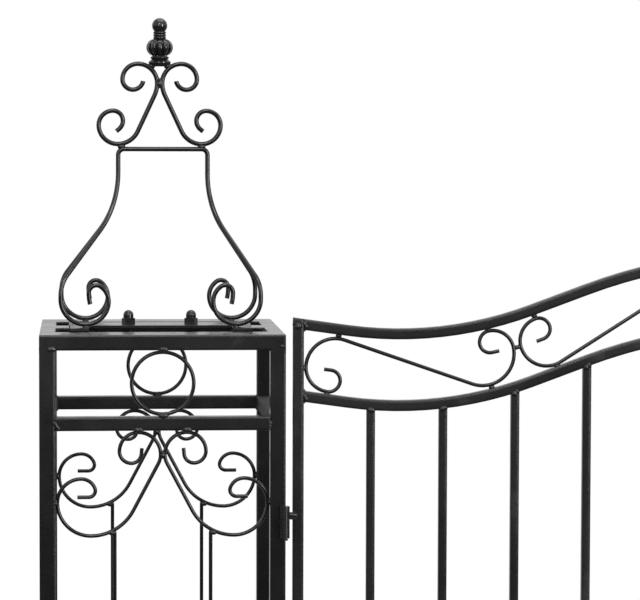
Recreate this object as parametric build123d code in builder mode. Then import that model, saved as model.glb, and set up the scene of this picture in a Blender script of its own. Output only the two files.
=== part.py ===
from build123d import *
from math import asin, atan2, cos, degrees, pi, radians, sin, sqrt, tan
import os

os.makedirs("parts", exist_ok=True)

# A single-leaf garden gate between two open box posts, black powder-coated steel.
# Millimetres. X runs along the gate, Y from front to back, Z up. The origin is on the
# ground, in the middle of the left post's foot.

# Driving sizes of the whole gate
post_width = 205.0          # square outside the four legs
post_height = 1335.0        # ground to the top of the cap
leaf_width = 800.0
leaf_gap = 6.0              # between the leaf and each post
ground_gap = 55.0           # under the leaf
weld_gap = 0.3              # a wire is seated this far from what its weld beads hold it to

# Tubes, sheet and wires
post_tube = 13.0
rail_height = 11.5
leaf_tube = 9.0
bar_width = 7.0
tube_edge = 1.0             # rounding along the edges of the tubes
bar_edge = 0.6
sheet_thick = 2.0           # sheet in the cap and the foot
base_thick = 2.5            # flats under the finial
scroll_wire = 1.6           # radius of the wire in the post panels and the frieze
finial_wire = 2.0           # radius of the finial's thicker wire

# Post: levels, the slots of the cap, the ground anchors
upper_rail_drop = 68.5      # cap top to the top of the upper rails
lower_rail_rise = 68.5      # ground to the underside of the lower rails
slot_spread = 41.5          # middle of the post to the middle of each slot
slot_width = 51.0
anchor_hole = 4.5           # radius of the ground anchor holes
anchor_spacing = 120.0

# Post panel scroll: it touches the rail above, its twin at the middle and the leg
panel_upper = [(18.5, -90), (15.8, -90), (10, -90), (8.3, -85), (5, 0)]
panel_lean = 28.0           # the straight run leans this far from upright
panel_join = 16.3           # radius of the bend above the straight run
panel_belly = 39.7          # radius under the straight run
panel_cheek = 28.0          # radius that touches the leg
panel_curl = [(19.8, -90), (12.1, -70), (5.5, -110), (9.5, 0)]
panel_bar_x = 40.0

# Finial base, held by two bolts with domed nuts
base_reach = 78.0
base_width = 42.0
cross_flat = 16.0
cross_reach = 58.0
cross_mid = 69.0
bolt_x = 27.0
bolt_radius = 3.0
bolt_play = 0.2
bolt_head = 6.0
bolt_head_thick = 2.5
nut_across = 10.0
nut_height = 5.0
dome_radius = 4.4
dome_rise = 2.6

# Finial: a front and a back frame, each a hoop on scrolled feet that carries two S-scrolls
hoop_top = 153.2            # cap to the crossbar's middle
hoop_half = 38.4
hoop_shift = 2.7            # the hand-bent legs carry the crossbar this far to the right
hoop_corner = 5.0
hoop_spread = 42.0          # middle of the post to each row of feet
foot_half = 84.9
knee_level = 104.4
knee_radius = 72.0
ankle_level = 39.1
ankle_radius = 25.0
foot_curl = [(21, -90), (19.5, -90), (15.4, -55), (6.5, -125), (40, -14)]
crest_down = [(25, 25), (34, 0), (19, 65)]
crest_outer = [(16.3, 90), (12.3, 90), (8.5, 90), (9.5, 50), (3, 0)]
crest_upper = [(16.5, 90), (13.3, 90), (8.9, 90), (9, 80)]

# Knob: radii and levels of its turned profile
knob_seat = 6.5
rim_radius = 9.6
rim_level = 3.0
rim_thick = 1.0
throat = 6.9
bead_level = 6.4
bead_size = 1.1
waist = 6.0
waist_level = 9.2
melon_radius = 11.4
melon_level = 16.0
shoulder = 5.2
shoulder_level = 23.5
neck = 4.5
neck_beads = 3
ball_radius = 6.6
flute_count = 12
flute_radius = 1.1

# Leaf: the bow of its rails, the bars and the frieze scrolls
valley_radius = 320.0
crown_radius = 440.0
entry_slope = 7.9           # degrees, at the stiles
climb_slope = 20.3          # degrees, between valley and crown
valley_inset = 90.0         # side of the leaf to the lowest point of the rail
frieze_drop = 60.2          # from the top rail to the second rail
bar_count = 12
frieze_gap = 1.6            # filled by the longer welds of a frieze scroll
frieze_meet = 211.5         # middle of the leaf to where the two scrolls of a half meet
stile_share = 0.54          # share of a loop's height that its first bend takes
outer_share = 0.6
inner_share = 0.54
crown_share = 0.54
crown_loop = 42.0           # middle of the leaf to the middle of the loop under the crown
curl_mid = 9.5
curl_end = 8.8
curl_tail = 6.0

# Hinges: a pin on the leaf drops into a barrel on the post
barrel_radius = 4.0
pin_radius = 2.5
pin_play = 0.05
barrel_height = 15.5
knuckle_height = 11.0
arm_height = 5.7
arm_thick = 4.0
arm_reach = 3.0             # how far the arm runs over the stile
pin_tip = 2.0               # how far the pin stands out under its barrel
hinge_inset = 1.0           # side of the post to the hinge axis
hinge_drop = 170.0          # cap top to the underside of the upper barrel

post_half = post_width / 2
tube_mid = post_half - post_tube / 2
bay = post_width - 2 * post_tube
post_pitch = post_width + 2 * leaf_gap + leaf_width
post_places = (("left", 0.0), ("right", post_pitch))
upper_rail_low = post_height - upper_rail_drop - rail_height
lower_rail_top = lower_rail_rise + rail_height


def save(piece, name):
    """Label a finished piece and write its STEP file."""
    piece.part.label = name
    export_step(piece.part, f"parts/{name}.step")


def upright(x, y, z):
    """Vertical drawing plane facing the front, with its own x to the right and y up."""
    return Plane(origin=(x, y, z), x_dir=(1, 0, 0), z_dir=(0, -1, 0))


def trace(start, heading, bends):
    """Walk along tangent bends (radius, turn) and straights (length, 0)."""
    x, y = start
    steps = []
    for size, turn in bends:
        course = radians(heading)
        steps.append(((x, y), (cos(course), sin(course)), size, turn))
        if turn == 0:
            x += size * cos(course)
            y += size * sin(course)
        else:
            side = 1 if turn > 0 else -1
            last = course + radians(turn)
            x += side * size * (sin(last) - sin(course))
            y -= side * size * (cos(last) - cos(course))
        heading += turn
    return steps


def lay(steps):
    """Draw traced steps on the line being built."""
    for point, direction, size, turn in steps:
        if turn == 0:
            Line(point, (point[0] + direction[0] * size, point[1] + direction[1] * size))
        else:
            JernArc(point, direction, size, turn)


def mirrored(bends, flip):
    """The same bends, turned the other way where flip is -1."""
    return [(size, turn * flip) for size, turn in bends]


def round_wire(route, radius):
    """Round wire along a finished line."""
    path = route.wire()
    with BuildSketch(Plane(origin=path @ 0, z_dir=path % 0)) as section:
        Circle(radius)
    sweep(section.sketch, path=path)


def bent_wire(plane, start, heading, back, ahead, radius, flip=1):
    """Round wire bent both ways from one point, where it points along heading."""
    start = (start[0] * flip, start[1])
    if flip < 0:
        heading = 180 - heading
    with BuildLine(plane) as route:
        lay(trace(start, heading, mirrored(ahead, flip)))
        lay(trace(start, heading + 180, mirrored(back, -flip)))
    round_wire(route, radius)


# Panel scroll, worked out from the rail above it and the leg beside it
panel_top = upper_rail_low - weld_gap - scroll_wire
panel_meet_x = scroll_wire + weld_gap / 2
panel_meet_z = panel_top - panel_upper[0][0]
lean = radians(panel_lean)
panel_room = bay / 2 - weld_gap - scroll_wire - panel_meet_x
panel_spread = panel_join * (1 - cos(lean)) + panel_belly * cos(lean)
panel_run = (panel_room - panel_spread - panel_cheek) / sin(lean)
panel_lower = [(panel_join, -panel_lean), (panel_run, 0), (panel_belly, panel_lean - 90)]
panel_lower += [(panel_cheek, -90)] + panel_curl
belly_x = bay / 2 - weld_gap - scroll_wire - panel_cheek
belly_z = panel_meet_z - panel_join * sin(lean) - panel_run * cos(lean) + panel_belly * sin(lean)
bar_offset = belly_x - panel_bar_x - scroll_wire
panel_bar_top = belly_z - sqrt((panel_belly + scroll_wire) ** 2 - bar_offset ** 2) - weld_gap

# Finial levels, worked up from its base
finial_row = finial_wire + weld_gap / 2
foot_rise = base_thick + weld_gap + finial_wire
foot_level = foot_rise + foot_curl[0][0]
crest_fall = trace((0, 0), -90, crest_down + [(1, 0)])[-1][0][1]
crest_meet = hoop_top + 2 * finial_wire + weld_gap - crest_fall
crest_mid = finial_row + crest_upper[0][0]
crest_back = crest_upper[0][0] + finial_wire
knob_base = crest_meet + sqrt(crest_back ** 2 - (crest_mid - knob_seat) ** 2) + weld_gap
ball_mid = shoulder_level + 2 * bead_size * neck_beads + sqrt(ball_radius ** 2 - neck ** 2)

for side, x in post_places:
    # Cap: a ring of tube closed by a sheet with two slots, drilled for the finial's bolts
    with BuildPart() as cap_frame:
        with BuildSketch(Plane(origin=(x, 0, post_height))):
            Rectangle(post_width, post_width)
            Rectangle(bay, bay, mode=Mode.SUBTRACT)
        extrude(amount=-post_tube)
        with BuildSketch(Plane(origin=(x, 0, post_height))):
            Rectangle(bay, bay)
            with GridLocations(0, 2 * slot_spread, 1, 2):
                Rectangle(bay, slot_width, mode=Mode.SUBTRACT)
            with GridLocations(2 * bolt_x, 0, 2, 1):
                Circle(bolt_radius + bolt_play, mode=Mode.SUBTRACT)
        extrude(amount=-sheet_thick)
        rims = cap_frame.faces().filter_by(Axis.Z).sort_by(Axis.Z)
        fillet(rims[-1].outer_wire().edges() + rims[0].outer_wire().edges(), tube_edge)
    save(cap_frame, f"{side}_cap_frame")

    # Foot: the same ring on the ground, with a strip drilled for two ground anchors
    with BuildPart() as foot_frame:
        with BuildSketch(Plane(origin=(x, 0, 0))):
            Rectangle(post_width, post_width)
            Rectangle(bay, bay, mode=Mode.SUBTRACT)
        extrude(amount=post_tube)
        with BuildSketch(Plane(origin=(x, 0, 0))):
            Rectangle(bay, 2 * slot_spread - slot_width)
            with GridLocations(anchor_spacing, 0, 2, 1):
                Circle(anchor_hole, mode=Mode.SUBTRACT)
        extrude(amount=sheet_thick)
        rims = foot_frame.faces().filter_by(Axis.Z).sort_by(Axis.Z)
        fillet(rims[-1].outer_wire().edges() + rims[0].outer_wire().edges(), tube_edge)
    save(foot_frame, f"{side}_foot_frame")

    for row, y in (("front", -tube_mid), ("back", tube_mid)):
        with BuildPart() as legs:
            with BuildSketch(Plane(origin=(x, y, post_tube))):
                with GridLocations(2 * tube_mid, 0, 2, 1):
                    RectangleRounded(post_tube, post_tube, tube_edge)
            extrude(amount=post_height - 2 * post_tube)
        save(legs, f"{side}_{row}_legs")

        # Ring that fills the height between the cap and the upper rail
        ring_room = upper_rail_drop - post_tube
        with BuildPart() as ring:
            with BuildLine(upright(x, y, post_height - post_tube - ring_room / 2)) as circle:
                CenterArc((0, 0), ring_room / 2 - weld_gap - scroll_wire, 0, 360)
            round_wire(circle, scroll_wire)
        save(ring, f"{side}_{row}_ring")

        with BuildPart() as scrolls:
            for flip in (1, -1):
                bent_wire(upright(x, y, 0), (-panel_meet_x, panel_meet_z), -90,
                          panel_upper, panel_lower, scroll_wire, flip)
        save(scrolls, f"{side}_{row}_scrolls")

        with BuildPart() as panel_bars:
            with BuildSketch(Plane(origin=(x, y, lower_rail_top))):
                with GridLocations(2 * panel_bar_x, 0, 2, 1):
                    Circle(scroll_wire)
            extrude(amount=panel_bar_top - lower_rail_top)
        save(panel_bars, f"{side}_{row}_panel_bars")

    for level, low in (("upper", upper_rail_low), ("lower", lower_rail_rise)):
        middle = low + rail_height / 2
        with BuildPart() as rails:
            for way in (-1, 1):
                with BuildSketch(Plane(origin=(x, way * tube_mid, middle), x_dir=(0, 1, 0),
                                       z_dir=(1, 0, 0))):
                    RectangleRounded(post_tube, rail_height, tube_edge)
                extrude(amount=bay / 2, both=True)
                with BuildSketch(Plane(origin=(x + way * tube_mid, 0, middle), x_dir=(1, 0, 0),
                                       z_dir=(0, 1, 0))):
                    RectangleRounded(post_tube, rail_height, tube_edge)
                extrude(amount=bay / 2, both=True)
        save(rails, f"{side}_{level}_rails")

    with BuildPart() as finial_base:
        with BuildSketch(Plane(origin=(x, 0, post_height))):
            Rectangle(2 * base_reach, base_width)
            with GridLocations(2 * cross_mid, 0, 2, 1):
                Rectangle(cross_flat, 2 * cross_reach)
            with GridLocations(2 * bolt_x, 0, 2, 1):
                Circle(bolt_radius + bolt_play, mode=Mode.SUBTRACT)
        extrude(amount=base_thick)
    save(finial_base, f"{side}_finial_base")

    # Bolts from under the cap sheet, with domed nuts on the finial base
    nut_low = post_height + base_thick
    with BuildPart() as nuts:
        for way in (-1, 1):
            mid = x + way * bolt_x
            with BuildSketch(Plane(origin=(mid, 0, nut_low))):
                RegularPolygon(nut_across / 2, 6, major_radius=False)
            extrude(amount=nut_height)
            with BuildSketch(upright(mid, 0, nut_low)):
                with BuildLine():
                    dome_low = nut_height + dome_rise
                    bolt_low = -base_thick - sheet_thick
                    Polyline((0, dome_low + dome_radius), (0, bolt_low - bolt_head_thick),
                             (bolt_head, bolt_low - bolt_head_thick), (bolt_head, bolt_low),
                             (bolt_radius, bolt_low), (bolt_radius, 0), (dome_radius, 0),
                             (dome_radius, dome_low))
                    RadiusArc((dome_radius, dome_low), (0, dome_low + dome_radius), -dome_radius)
                make_face()
            revolve(axis=Axis((mid, 0, 0), (0, 0, 1)))
    save(nuts, f"{side}_finial_nuts")

    for row, way in (("front", -1), ("back", 1)):
        # The hoop's legs splay outward from the crossbar to the feet, which stand upright
        lean_in = way * (hoop_spread - finial_row)
        with BuildPart() as hoop:
            with BuildLine(upright(x, way * hoop_spread, post_height)) as route:
                legs = []
                for hand in (1, -1):
                    top = hoop_shift + hand * hoop_half
                    legs.append([(hand * foot_half, foot_level, 0), (hand * foot_half, ankle_level, 0),
                                 (top, knee_level, lean_in), (top, hoop_top, lean_in)])
                radii = [ankle_radius, knee_radius, hoop_corner]
                FilletPolyline(legs[0] + legs[1][::-1], radius=radii + radii[::-1])
                lay(trace((foot_half, foot_level), -90, foot_curl))
                lay(trace((-foot_half, foot_level), -90, mirrored(foot_curl, -1)))
            round_wire(route, finial_wire)
        save(hoop, f"{side}_finial_{row}_hoop")

        with BuildPart() as crest:
            plane = upright(x, way * finial_row, post_height + crest_meet)
            for flip in (1, -1):
                bent_wire(plane, (finial_row, 0), -90, crest_upper, crest_down + crest_outer,
                          finial_wire, flip)
        save(crest, f"{side}_finial_{row}_crest")

    # Knob: turned, with a fluted melon between its rim and its ball
    with BuildPart() as knob:
        with BuildSketch(upright(x, 0, post_height + knob_base)):
            with BuildLine():
                rim_top = rim_level + rim_thick
                Polyline((0, 0), (knob_seat, 0), (rim_radius, rim_level), (rim_radius, rim_top))
                Line((rim_radius, rim_top), (throat, bead_level))
                bead_top = bead_level + 2 * bead_size
                ThreePointArc((throat, bead_level), (throat + bead_size, bead_level + bead_size),
                              (throat, bead_top))
                Line((throat, bead_top), (waist, waist_level))
                melon = ThreePointArc((waist, waist_level), (melon_radius, melon_level),
                                      (shoulder, shoulder_level))
                Line((shoulder, shoulder_level), (neck, shoulder_level))
                for bead in range(neck_beads):
                    low = shoulder_level + 2 * bead_size * bead
                    ThreePointArc((neck, low), (neck + bead_size, low + bead_size),
                                  (neck, low + 2 * bead_size))
                ThreePointArc((neck, shoulder_level + 2 * bead_size * neck_beads),
                              (ball_radius, ball_mid), (0, ball_mid + ball_radius))
                Line((0, ball_mid + ball_radius), (0, 0))
            make_face()
        revolve(axis=Axis((x, 0, 0), (0, 0, 1)))
        for flute in range(flute_count):
            course = 2 * pi * (flute + 0.5) / flute_count
            radial = Plane(origin=(x, 0, post_height + knob_base),
                           x_dir=(cos(course), sin(course), 0), z_dir=(sin(course), -cos(course), 0))
            with BuildLine(radial) as groove:
                ThreePointArc((waist, waist_level), (melon_radius, melon_level),
                              (shoulder, shoulder_level))
            path = groove.wire()
            with BuildSketch(Plane(origin=path @ 0, z_dir=path % 0)) as section:
                Circle(flute_radius)
            sweep(section.sketch, path=path, mode=Mode.SUBTRACT)
    save(knob, f"{side}_finial_knob")

# Leaf frame and its bowed rails
leaf_left = post_half + leaf_gap
leaf_mid = leaf_left + leaf_width / 2
leaf_y = -post_half + leaf_tube / 2
stile_mid = leaf_width / 2 - leaf_tube / 2
valley_x = leaf_width / 2 - valley_inset
crown_run = crown_radius * sin(radians(climb_slope))
valley_run = valley_radius * sin(radians(climb_slope))
entry_run = valley_radius * sin(radians(entry_slope))
valley_rise = valley_radius * (1 - cos(radians(climb_slope)))
climb_rise = (valley_x - valley_run - crown_run) * tan(radians(climb_slope))
crown_rise = crown_radius * (1 - cos(radians(climb_slope)))
entry_rise = valley_radius * (1 - cos(radians(entry_slope)))
stile_rise = entry_rise + (stile_mid - valley_x - entry_run) * tan(radians(entry_slope))
crown_height = valley_rise + climb_rise + crown_rise
leaf_plane = upright(leaf_mid, leaf_y, post_height)


def rail_line(level, reach):
    """Centre line of a leaf rail, valley at level, reach past the stiles' middle."""
    outer = level + stile_rise + reach * tan(radians(entry_slope))
    for flip in (1, -1):
        entry = (flip * (valley_x + entry_run), level + entry_rise)
        climb = (flip * (valley_x - valley_run), level + valley_rise)
        crown = (flip * crown_run, level + crown_height - crown_rise)
        Line((flip * (stile_mid + reach), outer), entry)
        ThreePointArc(entry, (flip * valley_x, level), climb)
        Line(climb, crown)
    ThreePointArc((-crown_run, level + crown_height - crown_rise), (0, level + crown_height),
                  (crown_run, level + crown_height - crown_rise))


def rail_at(station):
    """Rise above the valley and slope of a leaf rail, at a distance from the leaf's middle."""
    reach = abs(station)
    if reach < crown_run:
        rise = crown_height - crown_radius + sqrt(crown_radius ** 2 - reach ** 2)
        slope = -degrees(asin(reach / crown_radius))
    elif reach < valley_x - valley_run:
        rise = valley_rise + (valley_x - valley_run - reach) * tan(radians(climb_slope))
        slope = -climb_slope
    elif reach < valley_x + entry_run:
        rise = valley_radius - sqrt(valley_radius ** 2 - (reach - valley_x) ** 2)
        slope = degrees(asin((reach - valley_x) / valley_radius))
    else:
        rise = entry_rise + (reach - valley_x - entry_run) * tan(radians(entry_slope))
        slope = entry_slope
    return rise, slope if station > 0 else -slope


def bowed_rail(level):
    """Square tube along the rail's line, cut off square at the stiles."""
    with BuildLine(leaf_plane) as line:
        rail_line(level, 0)
    path = line.wire()
    with BuildSketch(Plane(origin=path @ 0, x_dir=(0, 1, 0), z_dir=path % 0)) as section:
        RectangleRounded(leaf_tube, leaf_tube, tube_edge)
    sweep(section.sketch, path=path)
    with BuildSketch(Plane(origin=(leaf_mid, leaf_y, post_height + level))) as stiles:
        with GridLocations(2 * stile_mid, 0, 2, 1):
            Rectangle(leaf_tube, 2 * leaf_tube)
    extrude(stiles.sketch, amount=2 * frieze_drop, both=True, mode=Mode.SUBTRACT)


with BuildPart() as top_rail:
    bowed_rail(0)
save(top_rail, "leaf_top_rail")

with BuildPart() as frieze_rail:
    bowed_rail(-frieze_drop)
save(frieze_rail, "leaf_frieze_rail")

# Stiles, cut at the top along the line of the top rail
stile_top = stile_rise + leaf_tube / 2 / cos(radians(entry_slope))
for name, flip in (("left", -1), ("right", 1)):
    with BuildPart() as stile:
        with BuildSketch(Plane(origin=(leaf_mid + flip * stile_mid, leaf_y, ground_gap))):
            RectangleRounded(leaf_tube, leaf_tube, tube_edge)
        extrude(amount=post_height + stile_top + leaf_tube - ground_gap)
        with BuildSketch(leaf_plane):
            with Locations((flip * stile_mid, stile_top)):
                Rectangle(3 * leaf_tube, 3 * leaf_tube, rotation=flip * entry_slope,
                          align=(Align.CENTER, Align.MIN))
        extrude(amount=leaf_tube, both=True, mode=Mode.SUBTRACT)
    save(stile, f"leaf_{name}_stile")

with BuildPart() as bottom_rail:
    with BuildSketch(Plane(origin=(leaf_mid, leaf_y, ground_gap + leaf_tube / 2), z_dir=(1, 0, 0))):
        RectangleRounded(leaf_tube, leaf_tube, tube_edge)
    extrude(amount=stile_mid - leaf_tube / 2, both=True)
save(bottom_rail, "leaf_bottom_rail")

# Bars, cut along the underside of the frieze rail
bar_pitch = 2 * stile_mid / (bar_count + 1)
with BuildPart() as bars:
    with BuildSketch(Plane(origin=(leaf_mid, leaf_y, ground_gap + leaf_tube))):
        with GridLocations(bar_pitch, 0, bar_count, 1):
            RectangleRounded(bar_width, bar_width, bar_edge)
    extrude(amount=post_height - frieze_drop + crown_height - ground_gap)
    with BuildSketch(upright(leaf_mid, leaf_y, post_height)):
        with BuildLine():
            rail_line(-frieze_drop, leaf_tube)
            end = stile_mid + leaf_tube
            edge = -frieze_drop + stile_rise + leaf_tube * tan(radians(entry_slope))
            high = crown_height + leaf_tube
            Polyline((-end, edge), (-end, high), (end, high), (end, edge))
        make_face()
        offset(amount=leaf_tube / 2 + weld_gap, kind=Kind.INTERSECTION)
    extrude(amount=bar_width, both=True, mode=Mode.SUBTRACT)
save(bars, "leaf_bars")

# Frieze: two S-scrolls in each half of the leaf. Each loop fills the height between the rails:
# its first bend touches one rail, its second bend the other
frieze_seat = scroll_wire + weld_gap
seat_tries = 10             # steps that find where a loop touches an upright line


def seat_loop(station, share, side, ease):
    """Loop at a station. Its first bend takes a share of the height and lies at the lower rail
    (side 1) or the upper one (side -1). The ease is the part of the gap that is left there."""
    rise, slope = rail_at(station)
    clear = frieze_drop * cos(radians(slope)) - leaf_tube - 2 * frieze_seat
    height = clear - frieze_gap
    radius = share * height
    shift = side * (clear / 2 - ease * frieze_gap - radius)
    centre = (station + shift * sin(radians(slope)),
              rise - frieze_drop / 2 - shift * cos(radians(slope)))
    return centre, radius, height - radius, slope


def loop_beside(line, way, share, side, ease):
    """Loop whose first bend lies a seat away from an upright line, on the side that way gives."""
    station = line
    for _ in range(seat_tries):
        centre, radius, _, _ = seat_loop(station, share, side, ease)
        station += line + way * radius - centre[0]
    return seat_loop(station, share, side, ease)


def frieze_scroll(first, last, swing, flip):
    """S-scroll whose straight passes over its first loop and under its last one, or if swing
    is -1 under the first and over the last."""
    (ax, az), first_radius, first_next, first_slope = first
    (bx, bz), last_radius, last_next, last_slope = last
    dx, dz = bx - ax, bz - az
    both = swing * (first_radius + last_radius)
    run = sqrt(dx * dx + dz * dz - both * both)
    heading = degrees(atan2(dz, dx) - atan2(both, run))
    course = radians(heading)
    start = (ax - swing * first_radius * sin(course), az + swing * first_radius * cos(course))
    quarter = 90 * swing
    curl = [(curl_mid, quarter), (curl_end, quarter), (curl_tail, 0)]
    back = [(first_radius, heading - first_slope - quarter), (first_next, -quarter)]
    ahead = [(run, 0), (last_radius, quarter + last_slope - heading), (last_next, quarter)]
    bent_wire(leaf_plane, start, heading, back + mirrored(curl, -1), ahead + curl, scroll_wire, flip)


touch = scroll_wire + frieze_gap / 2
stile_face = stile_mid - leaf_tube / 2 - frieze_seat
stile_loop = loop_beside(-stile_face, 1, stile_share, -1, 1)
outer_loop = loop_beside(-frieze_meet - touch, -1, outer_share, 1, 1)
inner_loop = loop_beside(-frieze_meet + touch, 1, inner_share, 1, 0)
crown_end = seat_loop(-crown_loop, crown_share, -1, 0)
for name, flip in (("left", 1), ("right", -1)):
    with BuildPart() as outer_scroll:
        frieze_scroll(stile_loop, outer_loop, 1, flip)
    save(outer_scroll, f"frieze_{name}_outer_scroll")
    with BuildPart() as inner_scroll:
        frieze_scroll(inner_loop, crown_end, -1, flip)
    save(inner_scroll, f"frieze_{name}_inner_scroll")

# Hinges
hinge_x = post_half - hinge_inset
hinge_y = -post_half - weld_gap - barrel_radius
for name, low in (("upper", post_height - hinge_drop), ("lower", hinge_drop - barrel_height)):
    with BuildPart() as barrel:
        with BuildSketch(Plane(origin=(hinge_x, hinge_y, low))):
            Circle(barrel_radius)
            Circle(pin_radius + pin_play, mode=Mode.SUBTRACT)
        extrude(amount=barrel_height)
    save(barrel, f"{name}_hinge_barrel")

    with BuildPart() as pin:
        knuckle_low = low + barrel_height + weld_gap
        with BuildSketch(Plane(origin=(hinge_x, hinge_y, knuckle_low))):
            Circle(barrel_radius)
        extrude(amount=knuckle_height)
        with BuildSketch(Plane(origin=(0, 0, knuckle_low))):
            arm_end = leaf_left + arm_reach
            with Locations((arm_end, hinge_y)):
                Rectangle(arm_end - hinge_x, arm_thick, align=(Align.MAX, Align.CENTER))
            with Locations((arm_end, -post_half)):
                Rectangle(arm_reach, -post_half - hinge_y, align=(Align.MAX, Align.MAX))
        extrude(amount=arm_height)
        with BuildSketch(Plane(origin=(hinge_x, hinge_y, low - pin_tip))):
            Circle(pin_radius)
        extrude(amount=pin_tip + barrel_height + arm_height)
    save(pin, f"{name}_hinge_pin")
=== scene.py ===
from math import cos, pi, radians, sin

import bmesh
import bpy
from mathutils import Matrix, Vector, noise
from mathutils.bvhtree import BVHTree


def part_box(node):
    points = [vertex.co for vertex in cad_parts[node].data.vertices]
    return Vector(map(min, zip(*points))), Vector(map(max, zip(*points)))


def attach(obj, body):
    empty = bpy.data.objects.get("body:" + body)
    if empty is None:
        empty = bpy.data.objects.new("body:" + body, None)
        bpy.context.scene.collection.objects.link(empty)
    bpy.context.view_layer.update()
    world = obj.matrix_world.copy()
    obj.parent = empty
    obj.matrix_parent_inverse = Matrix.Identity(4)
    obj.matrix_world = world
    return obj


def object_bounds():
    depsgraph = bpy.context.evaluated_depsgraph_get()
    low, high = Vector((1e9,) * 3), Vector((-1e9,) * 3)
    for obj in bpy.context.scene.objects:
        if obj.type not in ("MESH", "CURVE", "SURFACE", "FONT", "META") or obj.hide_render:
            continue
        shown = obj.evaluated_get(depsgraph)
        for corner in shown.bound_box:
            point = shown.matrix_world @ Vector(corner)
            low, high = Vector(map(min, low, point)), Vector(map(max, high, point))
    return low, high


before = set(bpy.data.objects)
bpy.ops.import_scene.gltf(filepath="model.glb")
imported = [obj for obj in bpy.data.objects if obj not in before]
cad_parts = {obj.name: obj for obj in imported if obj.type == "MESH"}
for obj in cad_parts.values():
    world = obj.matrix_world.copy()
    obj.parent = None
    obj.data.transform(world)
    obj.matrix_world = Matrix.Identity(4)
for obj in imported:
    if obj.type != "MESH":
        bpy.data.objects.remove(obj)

cad_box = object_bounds()

# Sizes in metres, read from the frame: caps, tubes, rails and stiles
SIDES = ("left", "right")
ROWS = (("front", -1), ("back", 1))
cap_low, cap_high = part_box("left_cap_frame")
tube = cap_high.z - cap_low.z
post_half = (cap_high.x - cap_low.x) / 2
inner = post_half - tube
rail_low, rail_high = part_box("left_upper_rails")
lower_low, lower_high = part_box("left_lower_rails")
foot_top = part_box("left_foot_frame")[1].z
stile_low, stile_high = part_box("leaf_left_stile")
far_stile_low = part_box("leaf_right_stile")[0]
LEAF_FACES = ((stile_low.y, -1), (stile_high.y, 1))


class Value:
    """A shader socket that can be used in sums, so that a mask reads as plain arithmetic."""

    def __init__(self, finish, socket):
        self.finish = finish
        self.socket = socket

    def maths(self, operation, first, second=0.0):
        return self.finish.node("ShaderNodeMath", {"operation": operation}, {0: first, 1: second})

    def __add__(self, other):
        return self.maths("ADD", self, other)

    def __radd__(self, other):
        return self.maths("ADD", other, self)

    def __sub__(self, other):
        return self.maths("SUBTRACT", self, other)

    def __rsub__(self, other):
        return self.maths("SUBTRACT", other, self)

    def __mul__(self, other):
        return self.maths("MULTIPLY", self, other)


class Finish:
    """The nodes of one material, or of the world."""

    def __init__(self, owner):
        owner.use_nodes = True
        self.owner = owner
        self.tree = owner.node_tree

    def node(self, kind, settings=None, sockets=None, output=0):
        """Add a node. Settings come first, then the values or links of its sockets."""
        made = self.tree.nodes.new(kind)
        for name, setting in (settings or {}).items():
            setattr(made, name, setting)
        self.fill(made, sockets or {})
        return Value(self, made.outputs[output])

    def fill(self, made, sockets):
        for name, value in sockets.items():
            if isinstance(value, Value):
                self.tree.links.new(value.socket, made.inputs[name])
            else:
                made.inputs[name].default_value = value

    def noise(self, where, scale, detail=2.0):
        return self.node("ShaderNodeTexNoise", {},
                         {"Vector": where, "Scale": scale, "Detail": detail, "Roughness": 0.5})

    def along(self, vector, axis):
        """One part of a vector, such as Z."""
        return self.node("ShaderNodeSeparateXYZ", {}, {"Vector": vector}, output=axis)

    def band(self, value, low, high):
        """0 below low, 1 above high and a soft step between."""
        return self.node("ShaderNodeMapRange", {"interpolation_type": "SMOOTHSTEP"},
                         {"Value": value, "From Min": low, "From Max": high})

    def blend(self, factor, first, second):
        """Colour between first and second."""
        return self.node("ShaderNodeMix", {"data_type": "RGBA"},
                         {"Factor": factor, 6: first, 7: second}, output=2)


def grey(level, blue=1.0):
    """Neutral paint colour, a touch bluer where blue is over 1."""
    return (level, level, level * blue, 1)


# Noise scales of the coat: its broad film, patches in it, orange peel and pores
FILM_SCALE = 9
PATCH_SCALE = 55
PEEL_SCALE = 380
PORE_SCALE = 1500
PEEL_DEPTH = 0.00012
EDGE_SAMPLES = 6
INNER_DULLNESS = 0.45       # roughness added between the rows of legs
LOBE_DEPTH = 0.001          # swelling of a knob's melon between its flutes
MELON_FOOT = (0.17, 0.24)   # where the melon starts and ends, in shares of the knob's height
MELON_TOP = (0.46, 0.5)
DUST = grey(0.2, 0.97)


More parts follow.
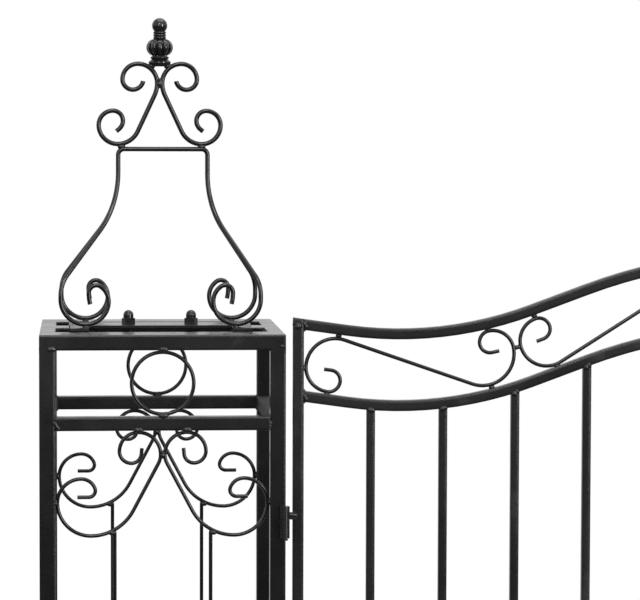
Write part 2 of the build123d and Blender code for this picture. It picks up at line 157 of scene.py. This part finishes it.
def powder_coat(name, shade, gloss, peel, dust, edge=0.0, inner=0.0, lobes=0):
    """Black powder coat: fine orange peel, a slightly uneven film, a breath of dust on top faces
    and film drawn round over the edges, where an edge width is given. Where an inner distance is
    given, the film between the rows of legs is duller, as spray reaches it less well. A number
    of lobes swells the melon of a knob between its flutes."""
    coat = Finish(bpy.data.materials.new(name))
    where = coat.node("ShaderNodeTexCoord", output="Object")
    upward = coat.along(coat.node("ShaderNodeNewGeometry", output="Normal"), "Z")
    film = coat.noise(where, FILM_SCALE, 4)
    patches = coat.noise(where, PATCH_SCALE)
    # Dust settles on top faces, in patches. The film is thin where both noises are high
    settled = coat.band(upward, 0.6, 1.0) * coat.band(patches, 0.35, 0.75) * dust
    thin = coat.band(patches, 0.62, 0.7) * coat.band(film, 0.45, 0.6)
    colour = coat.blend(coat.band(film, 0.3, 0.7), grey(shade), grey(shade * 1.5, 1.03))
    colour = coat.blend(thin * 0.35, colour, grey(shade * 2.4))
    colour = coat.blend(settled, colour, DUST)
    rough = gloss + coat.band(film, 0.25, 0.75) * 0.06 + (patches - 0.5) * 0.12
    rough = rough + settled * 0.5 + thin * 0.05
    if inner:
        across = coat.along(where, "Y")
        outside = coat.band(across.maths("ABSOLUTE", across), inner - 0.004, inner - 0.001)
        rough = rough + (1 - outside) * INNER_DULLNESS
    height = coat.noise(where, PEEL_SCALE) * peel + coat.noise(where, PORE_SCALE, 1) * (0.25 * peel)
    relief = {"Height": height, "Strength": 1.0, "Distance": PEEL_DEPTH}
    if edge:
        relief["Normal"] = coat.node("ShaderNodeBevel", {"samples": EDGE_SAMPLES}, {"Radius": edge})
    if lobes:
        spread = coat.node("ShaderNodeTexCoord", output="Generated")
        east, north = (coat.along(spread, axis) - 0.5 for axis in "XY")
        rise = coat.along(spread, "Z")
        wave = east.maths("COSINE", north.maths("ARCTAN2", north, east) * (lobes / 2))
        melon = coat.band(rise, *MELON_FOOT) * (1 - coat.band(rise, *MELON_TOP))
        swell = {"Height": wave.maths("ABSOLUTE", wave) * melon, "Strength": 1.0, "Distance": LOBE_DEPTH}
        relief["Normal"] = coat.node("ShaderNodeBump", {}, swell)
    coat.fill(coat.tree.nodes["Principled BSDF"],
              {"Base Color": colour, "Roughness": rough, "IOR": 1.5,
               "Normal": coat.node("ShaderNodeBump", {}, relief)})
    return coat.owner


post_coat = powder_coat("post_powder_coat", shade=0.0042, gloss=0.18, peel=0.35, dust=0.05, edge=0.0024)
rail_coat = powder_coat("rail_powder_coat", shade=0.0042, gloss=0.22, peel=0.45, dust=0.05, edge=0.0024,
                        inner=inner)
# The leaf wears a lighter copy of the post coat: painted light, standing in for the brighter light that falls
# on the leaf.
leaf_coat = powder_coat("leaf_powder_coat", shade=0.006, gloss=0.2, peel=0.4, dust=0.05, edge=0.0034)
wire_coat = powder_coat("wire_powder_coat", shade=0.004, gloss=0.13, peel=0.1, dust=0.04)
cast_coat = powder_coat("cast_knob_coat", shade=0.007, gloss=0.08, peel=0.3, dust=0.04, lobes=12)
weld_coat = powder_coat("weld_powder_coat", shade=0.006, gloss=0.25, peel=0.5, dust=0.05)
nut_coat = powder_coat("nut_paint", shade=0.0035, gloss=0.13, peel=0.1, dust=0.02)
# The finial base wears a darker copy of the post coat: painted shade, standing in for the dark wires mirrored
# in it and the shade under them.
base_coat = powder_coat("finial_base_coat", shade=0.0035, gloss=0.2, peel=0.35, dust=0.05, edge=0.0004)
hinge_coat = powder_coat("hinge_powder_coat", shade=0.0075, gloss=0.24, peel=0.25, dust=0.03)
seam_coat = powder_coat("seam_powder_coat", shade=0.0042, gloss=0.18, peel=0.35, dust=0.05)

# What a piece wears goes by the first of these words in its name
COATS = (("knob", cast_coat), ("nuts", nut_coat), ("hinge", hinge_coat), ("finial_base", base_coat),
         ("finial", wire_coat), ("ring", wire_coat), ("scroll", wire_coat), ("panel_bars", wire_coat),
         ("rails", rail_coat), ("leaf", leaf_coat), ("", post_coat))

for name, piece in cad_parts.items():
    worn = next(coat for word, coat in COATS if word in name)
    if not piece.data.materials:
        piece.data.materials.append(worn)
    for slot in piece.material_slots:
        slot.link = "OBJECT"
        slot.material = worn


def show(name, shape, coat):
    """Put a finished shape into the scene."""
    data = bpy.data.meshes.new(name)
    shape.to_mesh(data)
    shape.free()
    data.materials.append(coat)
    piece = bpy.data.objects.new(name, data)
    bpy.context.scene.collection.objects.link(piece)
    return piece


# Sizes of the welds, in metres
WIRE = 0.0016           # radius of the wire in the panels and the frieze
FINIAL_WIRE = 0.002     # radius of the finial's wire
BEAD = 0.0014           # radius of a bead along a seam
LUMP = 0.0022           # radius of a bead laid on the face of a tube
PROUD = 0.0011          # how far such a bead stands out of the face
ARM_LIFT = 0.0038       # top of a hinge barrel to the bead on the arm over it

# How near a wire comes to what carries it where the two are welded
TOUCH = 0.0005
CREST_TOUCH = 0.0008
FRIEZE_TOUCH = 0.0022
FOOT_REACH = 0.0025
MEETING = 0.004

# Contacts nearer to each other than this are one weld, the second for a wide foot or loop
ONE_SPOT = 0.008
ONE_LOOP = 0.03


class Welds:
    """The weld beads of one group of joints, gathered in one mesh."""

    steps = 18          # rings along a bead
    around = 14         # points round a bead
    ripple = 0.06
    ripples = 5         # ripples in 2 pi bead radii
    uneven = 0.12
    grain = 500         # scale of the unevenness

    def __init__(self, name, body, kind):
        self.name = name
        self.body = body
        self.kind = kind
        self.mesh = bmesh.new()
        self.count = 0

    def bead(self, start, end, radius):
        """Bead from start to end, rippled and uneven as hand-laid weld is."""
        self.count += 1
        start, end = Vector(start), Vector(end)
        along = end - start
        length = along.length + 2 * radius
        course = along.normalized() if along.length > 1e-6 else Vector((0, 0, 1))
        across = course.orthogonal().normalized()
        above = course.cross(across)
        first = start - course * radius
        rings = []
        for step in range(1, self.steps):
            travelled = step / self.steps * length
            inset = min(travelled, length - travelled, radius)
            cap = (1 - (1 - inset / radius) ** 2) ** 0.5
            ripple = 1 + self.ripple * cos(travelled / radius * self.ripples)
            ring = []
            for turn in range(self.around):
                angle = 2 * pi * turn / self.around
                spoke = across * cos(angle) + above * sin(angle)
                seed = first + spoke * radius + course * travelled
                uneven = 1 + self.uneven * noise.noise(seed * self.grain + Vector((self.count, 0, 0)))
                reach = radius * cap * ripple * uneven
                ring.append(self.mesh.verts.new(first + course * travelled + spoke * reach))
            rings.append(ring)
        for near, far in zip(rings, rings[1:]):
            for turn in range(self.around):
                after = (turn + 1) % self.around
                self.mesh.faces.new((near[turn], near[after], far[after], far[turn]))
        for ring, tip in ((rings[0], first), (rings[-1], first + course * length)):
            point = self.mesh.verts.new(tip)
            for turn in range(self.around):
                self.mesh.faces.new((ring[turn], point, ring[(turn + 1) % self.around]))

    def spot(self, place, along, radius):
        """Short bead, centred on a place, its longer way along a direction."""
        half = Vector(along).normalized() * radius * 0.5
        self.bead(place - half, place + half, radius)

    def on_face(self, start, end, face, outward, radius):
        """Bead on the front or back face of a tube, sunk until it stands only a little proud.
        Start and end are given across and up the face."""
        y = face + outward * (PROUD - radius)
        self.bead((start[0], y, start[1]), (end[0], y, end[1]), radius)

    def to_face(self, place, face, outward, radius):
        """Bead from where a wire touches a tube out to a wide lump on the face of that tube."""
        self.bead(place, (place.x, face + outward * (PROUD - radius), place.z), radius)
        level = place.z + 0.4 * radius
        self.on_face((place.x - 0.9 * radius, level), (place.x + 0.9 * radius, level), face, outward, radius)

    def finish(self):
        bmesh.ops.recalc_face_normals(self.mesh, faces=self.mesh.faces)
        for face in self.mesh.faces:
            face.smooth = True
        piece = show(self.name, self.mesh, weld_coat)
        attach(piece, self.body)


def points_of(node):
    """The points of a CAD piece's surface."""
    return [vertex.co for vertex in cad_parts[node].data.vertices]


trees = {}


def tree_of(node):
    """Search tree over a CAD piece's surface."""
    if node not in trees:
        faces = [polygon.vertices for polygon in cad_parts[node].data.polygons]
        trees[node] = BVHTree.FromPolygons(points_of(node), faces)
    return trees[node]


def contacts(wire, carrier, reach, apart=ONE_SPOT):
    """The places where a wire comes within reach of what carries it, as pairs of a point on the
    wire and the nearest point of the carrier, one pair for each contact."""
    found = []
    for point in points_of(wire):
        near, _, _, gap = tree_of(carrier).find_nearest(point, reach)
        if near is not None:
            found.append((gap, point.copy(), near))
    found.sort(key=lambda contact: contact[0])
    kept = []
    for _, point, near in found:
        if all((point - other).length > apart for other, _ in kept):
            kept.append((point, near))
    return kept


def touches(wire, carrier, reach, apart=ONE_SPOT):
    """The middle of each contact."""
    return [(point + near) / 2 for point, near in contacts(wire, carrier, reach, apart)]


def twin_meeting(node, middle):
    """Where the two mirrored wires of a piece meet on its middle line."""
    points = [point for point in points_of(node) if abs(point.x - middle) < TOUCH]
    return sum(points, Vector()) / len(points)


# The outer seams of the posts are ground flush: a thin skin of filler runs over them and over
# the drawn edges of the leg
SKIN = 0.00008
SKIN_INSET = 0.0012
SKIN_REACH = 0.003


def ground_seams(side, middle):
    """Skins over the seams of the legs with the cap and the foot."""
    skins = bmesh.new()
    for hand in (-1, 1):
        for way in (-1, 1):
            for level in (cap_low.z, foot_top):
                for across in (0, 1):
                    size = [tube - 2 * SKIN_INSET] * 2 + [2 * SKIN_REACH]
                    size[across] = 2 * SKIN
                    place = [middle + hand * (post_half - tube / 2), way * (post_half - tube / 2), level]
                    place[across] = (middle + hand * post_half, way * post_half)[across]
                    bmesh.ops.create_cube(skins, size=1.0,
                                          matrix=Matrix.Translation(place) @ Matrix.Diagonal((*size, 1)))
    seams = show(f"{side}_post_ground_seams", skins, seam_coat)
    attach(seams, "posts")


def post_frame_welds(side, middle):
    """Seams of the legs with the cap, the foot and the rails. The lumps on the faces are laid
    by hand, so they lie otherwise on the left leg than on the right one."""
    welds = Welds(f"{side}_post_frame_welds", "posts", "post_frame")
    for hand in (-1, 1):
        left = hand < 0
        x = middle + hand * inner
        outer = x + hand * tube
        lump = (x - 0.6 * LUMP, x - 1.8 * LUMP) if left else (outer - 1.8 * LUMP, outer - LUMP)
        lump_lift = (0.4 if left else 1.4) * LUMP
        lump_radius = (1.2 if left else 0.7) * LUMP
        rail_foot = x - hand * (1.4 if left else 0.3) * LUMP
        for way in (-1, 1):
            face = way * post_half
            back = way * inner
            for level, up in ((cap_low.z, 1), (foot_top, -1)):
                lift = level + up * lump_lift
                welds.on_face((lump[0], lift), (lump[1], lift), face, way, lump_radius)
                welds.bead((x, face - way * 3 * BEAD, level), (x, back, level), 0.8 * BEAD)
                welds.bead((x, back, level), (outer - hand * 3 * BEAD, back, level), 0.8 * BEAD)
            for low, high in ((rail_low.z, rail_high.z), (lower_low.z, lower_high.z)):
                welds.on_face((x, high - 0.4 * tube), (rail_foot, high - 0.75 * tube), face, way, 0.9 * LUMP)
                welds.bead((x, back, low), (x, back, high), BEAD)
    welds.finish()


def post_panel_welds(side, middle):
    """Rings, scrolls and thin bars of the front and back panels."""
    welds = Welds(f"{side}_post_panel_welds", "posts", "wrought_wire")
    for row, way in ROWS:
        ring, scrolls, bars = (f"{side}_{row}_{kind}" for kind in ("ring", "scrolls", "panel_bars"))
        for wire, carrier in ((ring, f"{side}_cap_frame"), (ring, f"{side}_upper_rails"),
                              (scrolls, f"{side}_upper_rails")):
            for place in touches(wire, carrier, TOUCH):
                welds.spot(place, (1, 0, 0), 1.5 * WIRE)
                welds.to_face(place, way * post_half, way, LUMP)
        for place in touches(scrolls, f"{side}_{row}_legs", TOUCH):
            welds.spot(place, (0, 0, 1), 1.3 * WIRE)
        for place in touches(bars, scrolls, TOUCH):
            welds.spot(place, (1, 0, 0), 1.4 * WIRE)
        welds.spot(twin_meeting(scrolls, middle), (0, 0, 1), 1.5 * WIRE)
    welds.finish()


def finial_welds(side, middle):
    """Hoops on the base, crests on the hoops and on each other, knob on the crests."""
    welds = Welds(f"{side}_finial_welds", "posts", "wrought_wire")
    for row, _ in ROWS:
        hoop, crest = f"{side}_finial_{row}_hoop", f"{side}_finial_{row}_crest"
        for place in touches(hoop, f"{side}_finial_base", TOUCH, ONE_LOOP):
            welds.spot(place, (1, 0, 0), 0.9 * FINIAL_WIRE)
        for place in touches(crest, f"{side}_finial_knob", CREST_TOUCH):
            welds.spot(place, (1, 0, 0), 1.15 * FINIAL_WIRE)
        for point, near in contacts(crest, hoop, FOOT_REACH, ONE_LOOP):
            welds.spot((point + near) / 2, (1, 0, 0), 1.15 * FINIAL_WIRE)
            welds.bead(near, point, FINIAL_WIRE)
        welds.spot(twin_meeting(crest, middle), (0, 0, 1), 1.5 * FINIAL_WIRE)
    welds.finish()


post_middles = [(side, sum(corner.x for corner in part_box(f"{side}_cap_frame")) / 2) for side in SIDES]
for side, middle in post_middles:
    ground_seams(side, middle)
for side, middle in post_middles:
    post_frame_welds(side, middle)
    post_panel_welds(side, middle)
    finial_welds(side, middle)

# Leaf: the rails' ends on the stiles, with a larger lump where the top rail meets them
rail_welds = Welds("leaf_frame_welds", "leaf", "leaf_frame")
for rail in ("leaf_top_rail", "leaf_frieze_rail", "leaf_bottom_rail"):
    is_top = rail == "leaf_top_rail"
    for x, hand in ((stile_high.x, 1), (far_stile_low.x, -1)):
        ends = [point.z for point in points_of(rail) if abs(point.x - x) < TOUCH]
        low, high = min(ends), max(ends)
        for face, outward in LEAF_FACES:
            rail_welds.on_face((x + hand * LUMP, low + LUMP), (x + hand * 0.3 * LUMP, high - 1.8 * LUMP),
                               face, outward, 0.9 * LUMP)
            if is_top:
                rail_welds.on_face((x - hand * 2.3 * LUMP, low + 1.8 * LUMP),
                                   (x - hand * 2 * LUMP, low + 1.2 * LUMP), face, outward, 2 * LUMP)
        seam = x + hand * 0.2 * BEAD
        front, back = (face - outward * LUMP for face, outward in LEAF_FACES)
        for level in ((low,) if is_top else (low, high)):
            rail_welds.bead((seam, front, level), (seam, back, level), BEAD)
rail_welds.finish()

# Hinges: barrels on the left post, arms on the left stile
barrel_welds = Welds("hinge_barrel_welds", "posts", "fixings")
arm_welds = Welds("hinge_arm_welds", "leaf", "fixings")
for name in ("upper", "lower"):
    low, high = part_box(f"{name}_hinge_barrel")
    seam = (low.x + 0.4 * BEAD, high.y - 0.3 * BEAD)
    barrel_welds.bead((*seam, low.z + BEAD), (*seam, high.z - BEAD), 0.6 * BEAD)
    arm = ((low.y + high.y) / 2, high.z + ARM_LIFT)
    arm_welds.bead((high.x, *arm), (stile_low.x + BEAD, *arm), 1.8 * BEAD)
barrel_welds.finish()
arm_welds.finish()

# Bars, each found by the columns of points at its foot
BAR_ROOM = 0.012        # columns nearer than this belong to one bar
bar_welds = Welds("leaf_bar_welds", "leaf", "leaf_frame")
bar_points = points_of("leaf_bars")
bars_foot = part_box("leaf_bars")[0].z
bars = []
for x in sorted({round(point.x, 5) for point in bar_points if point.z < bars_foot + TOUCH}):
    if bars and x - bars[-1][-1] < BAR_ROOM:
        bars[-1].append(x)
    else:
        bars.append([x])
for columns in bars:
    left, right = columns[0], columns[-1]
    tops = [point for point in bar_points
            if left - TOUCH < point.x < right + TOUCH and point.z > bars_foot + TOUCH]
    left_top = max(point.z for point in tops if point.x < left + 2 * TOUCH)
    right_top = max(point.z for point in tops if point.x > right - 2 * TOUCH)
    for face, outward in LEAF_FACES:
        bar_welds.on_face((left + LUMP, left_top + 0.2 * LUMP), (right - LUMP, right_top + 0.2 * LUMP),
                          face, outward, 1.1 * LUMP)
        bar_welds.on_face((left + LUMP, bars_foot - BEAD), (right - LUMP, bars_foot - BEAD),
                          face, outward, LUMP)
bar_welds.finish()

frieze_welds = Welds("frieze_welds", "leaf", "wrought_wire")
for hand in SIDES:
    stile = f"leaf_{hand}_stile"
    outer_wire, inner_wire = f"frieze_{hand}_outer_scroll", f"frieze_{hand}_inner_scroll"
    for wire, carrier in ((outer_wire, "leaf_top_rail"), (outer_wire, "leaf_frieze_rail"),
                          (outer_wire, stile),
                          (inner_wire, "leaf_top_rail"), (inner_wire, "leaf_frieze_rail")):
        for place in touches(wire, carrier, FRIEZE_TOUCH, ONE_LOOP):
            frieze_welds.spot(place, (0, 0, 1) if carrier == stile else (1, 0, 0), 1.1 * WIRE)
    for point, near in contacts(inner_wire, outer_wire, MEETING, ONE_LOOP):
        frieze_welds.bead(near, point, 1.2 * WIRE)
frieze_welds.finish()

# Floor of pale paper, fading to white away from the gate
FLOOR_REACH = 7.0
FLOOR_PLAIN = 0.9
FLOOR_WHITE = 2.6
PAPER_GRAIN = 60
paper = Finish(bpy.data.materials.new("floor_paper"))
spread = paper.node("ShaderNodeTexCoord", output="Object")
distance = paper.node("ShaderNodeVectorMath", {"operation": "LENGTH"}, {0: spread}, output="Value")
surface = paper.tree.nodes["Principled BSDF"]
paper.fill(surface, {"Base Color": paper.blend(paper.noise(spread, PAPER_GRAIN, 4), grey(0.84), grey(0.88)),
                     "Roughness": 0.85})
white = paper.node("ShaderNodeEmission", {}, {"Color": grey(1.0), "Strength": 1.0})
fade = paper.band(distance, FLOOR_PLAIN, FLOOR_WHITE)
seen = paper.node("ShaderNodeLightPath", output="Is Camera Ray")
mixed = paper.node("ShaderNodeMixShader", {}, {0: fade * seen, 1: Value(paper, surface.outputs[0]), 2: white})
paper.fill(paper.tree.nodes["Material Output"], {"Surface": mixed})

gate_middle = (cad_box[0] + cad_box[1]) / 2
disc = bmesh.new()
bmesh.ops.create_circle(disc, cap_ends=True, radius=FLOOR_REACH, segments=96)
floor = show("studio_floor", disc, paper.owner)
floor.location = (gate_middle.x, gate_middle.y, 0)
floor.visible_glossy = False

# World: white to the eye. In reflections it is bright above the horizon, and below it there are
# a dark room before the gate and a grey floor behind
ROOM_DARK = 0.08
ROOM_FLOOR = 0.6
ROOM_BRIGHT = 0.88
ROOM_SOFT = 0.62
world = bpy.data.worlds.new("studio")
bpy.context.scene.world = world
room = Finish(world)
course = room.node("ShaderNodeTexCoord", output="Generated")
camera_ray = room.node("ShaderNodeLightPath", output="Is Camera Ray")
glossy_ray = room.node("ShaderNodeLightPath", output="Is Glossy Ray")
through_ray = room.node("ShaderNodeLightPath", output="Is Transmission Ray")
below = ROOM_DARK + room.band(room.along(course, "Y"), 0.2, 0.7) * (ROOM_FLOOR - ROOM_DARK)
glossy = below + room.band(room.along(course, "Z"), -0.12, 0.12) * (ROOM_BRIGHT - below)
direct = camera_ray + through_ray
level = direct + (1 - direct) * (glossy_ray * glossy + (1 - glossy_ray) * ROOM_SOFT)
room.fill(room.tree.nodes["Background"], {"Color": grey(1.0), "Strength": level})


def softbox(name, place, target, width, height, power):
    """Area lamp at a place, facing a target."""
    lamp = bpy.data.lights.new(name, "AREA")
    lamp.shape = "RECTANGLE"
    lamp.size = width
    lamp.size_y = height
    lamp.energy = power
    stand = bpy.data.objects.new(name, lamp)
    stand.location = place
    stand.rotation_euler = (Vector(target) - Vector(place)).to_track_quat("-Z", "Y").to_euler()
    bpy.context.scene.collection.objects.link(stand)


post_top = (0.1, 0, 1.45)
softbox("key_softbox", (2.05, -2.3, 1.85), post_top, width=0.75, height=1.9, power=52)
softbox("fill_softbox", (-0.6, -3.1, 2.1), post_top, width=0.45, height=1.5, power=12)
softbox("front_softbox", (-0.1, -2.7, 3.3), (0, 0, 1.3), width=1.0, height=0.7, power=22)
softbox("top_softbox", (0.5, 0, 3.8), (0.5, 0, 0.6), width=2.6, height=2.0, power=40)

# Camera: stands a little above the caps, to the left of the left post's middle
PHOTO_WIDTH = 640
FOCAL_PIXELS = 3000
SENSOR = 36.0
CAMERA_X = -0.0663
CAMERA_BACK = 2.589
CAMERA_OVER_CAP = 0.173
YAW, PITCH, ROLL = 4.53, 3.31, 0.16     # degrees to the right, down and anticlockwise
yaw, pitch, roll = radians(YAW), radians(PITCH), radians(ROLL)
ahead = Vector((sin(yaw) * cos(pitch), cos(yaw) * cos(pitch), -sin(pitch)))
level_right = Vector((cos(yaw), -sin(yaw), 0))
level_up = level_right.cross(ahead)
right = cos(roll) * level_right + sin(roll) * level_up
up = cos(roll) * level_up - sin(roll) * level_right
lens = bpy.data.cameras.new("camera")
lens.sensor_width = SENSOR
lens.lens = FOCAL_PIXELS * SENSOR / PHOTO_WIDTH
camera = bpy.data.objects.new("camera", lens)
turn = Matrix((right, up, -ahead)).transposed().to_4x4()
camera.matrix_world = Matrix.Translation((CAMERA_X, -CAMERA_BACK, cap_high.z + CAMERA_OVER_CAP)) @ turn
bpy.context.scene.collection.objects.link(camera)
bpy.context.scene.camera = camera
bpy.context.scene.view_settings.view_transform = "Standard"
